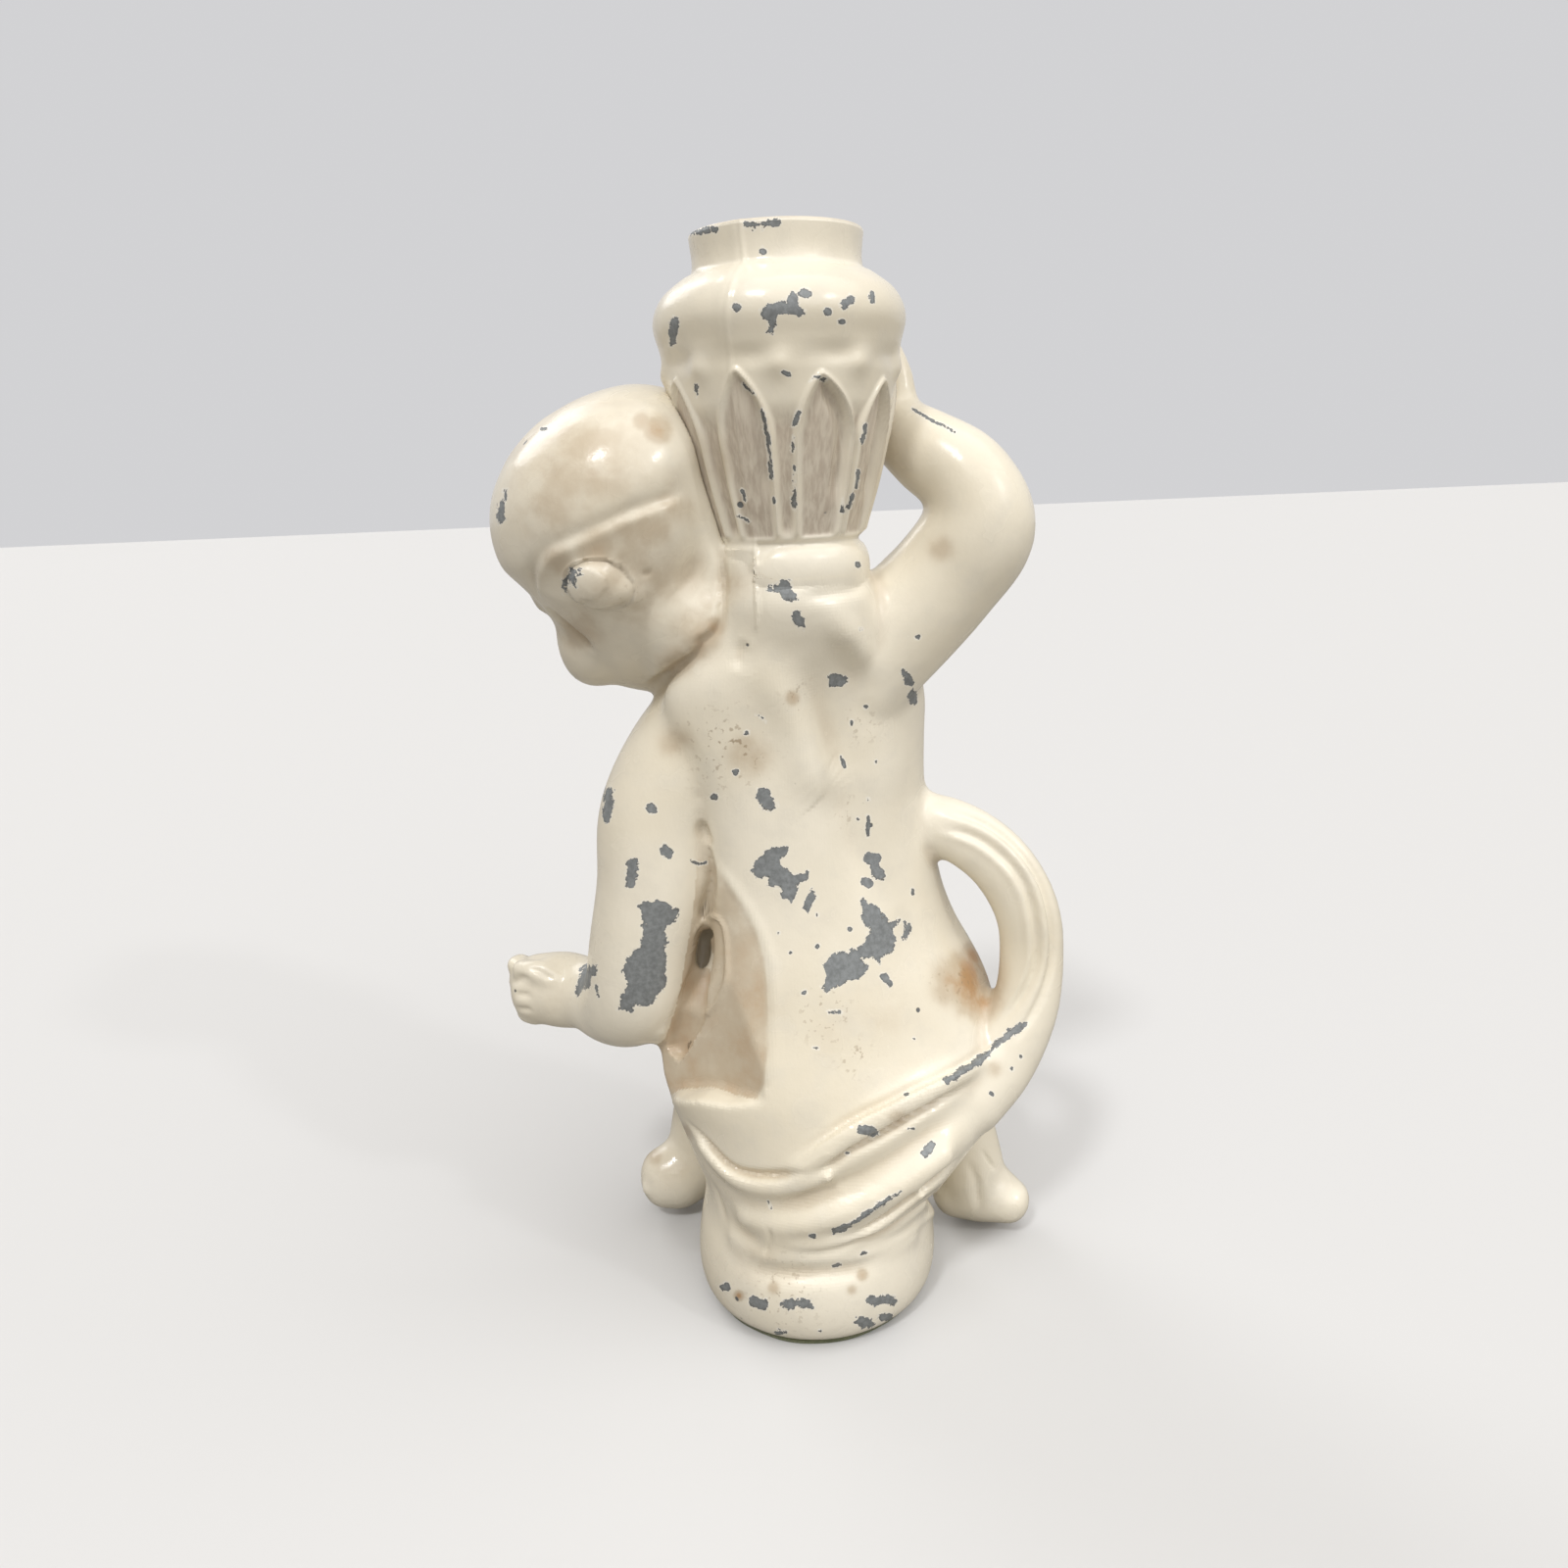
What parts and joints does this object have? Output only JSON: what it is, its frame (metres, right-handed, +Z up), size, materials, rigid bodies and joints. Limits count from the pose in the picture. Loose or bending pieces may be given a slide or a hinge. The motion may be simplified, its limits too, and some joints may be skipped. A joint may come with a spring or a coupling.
{
  "type": "cast cherub figure with urn",
  "caption": "Hollow cast cherub with a leaf fluted urn on its shoulders, seated on a draped stump, clamped by a central tie rod.",
  "frame": {"origin": "foot of the tie rod's axis, in the middle of the felt pad's underside, on the table", "axes": "+Z up along the tie rod and the urn's axis, -Y towards the side that the figure's back faces, -X towards the figure's left hand"},
  "size_m": [0.1628, 0.0872, 0.2903],
  "materials": {
    "painted_casting": "cream enamel, semi gloss, chipped to smooth blue grey metal and stained brown in the hollows",
    "plated_steel": "zinc plated steel, dull",
    "felt": "green wool felt"
  },
  "bodies": {
    "root": {"body_left_casting": "painted_casting", "body_right_casting": "painted_casting", "urn": "painted_casting", "head_casting": "painted_casting", "right_arm_casting": "painted_casting", "left_arm_casting": "painted_casting", "drapery_loop_casting": "painted_casting", "head_dowel": "plated_steel", "right_arm_dowel": "plated_steel", "left_arm_dowel": "plated_steel", "loop_upper_dowel": "plated_steel", "tie_rod": "plated_steel", "top_washer": "plated_steel", "top_nut": "plated_steel", "bearing_plate": "plated_steel", "base_nut": "plated_steel", "felt_pad": "felt"}
  },
  "joints": []
}
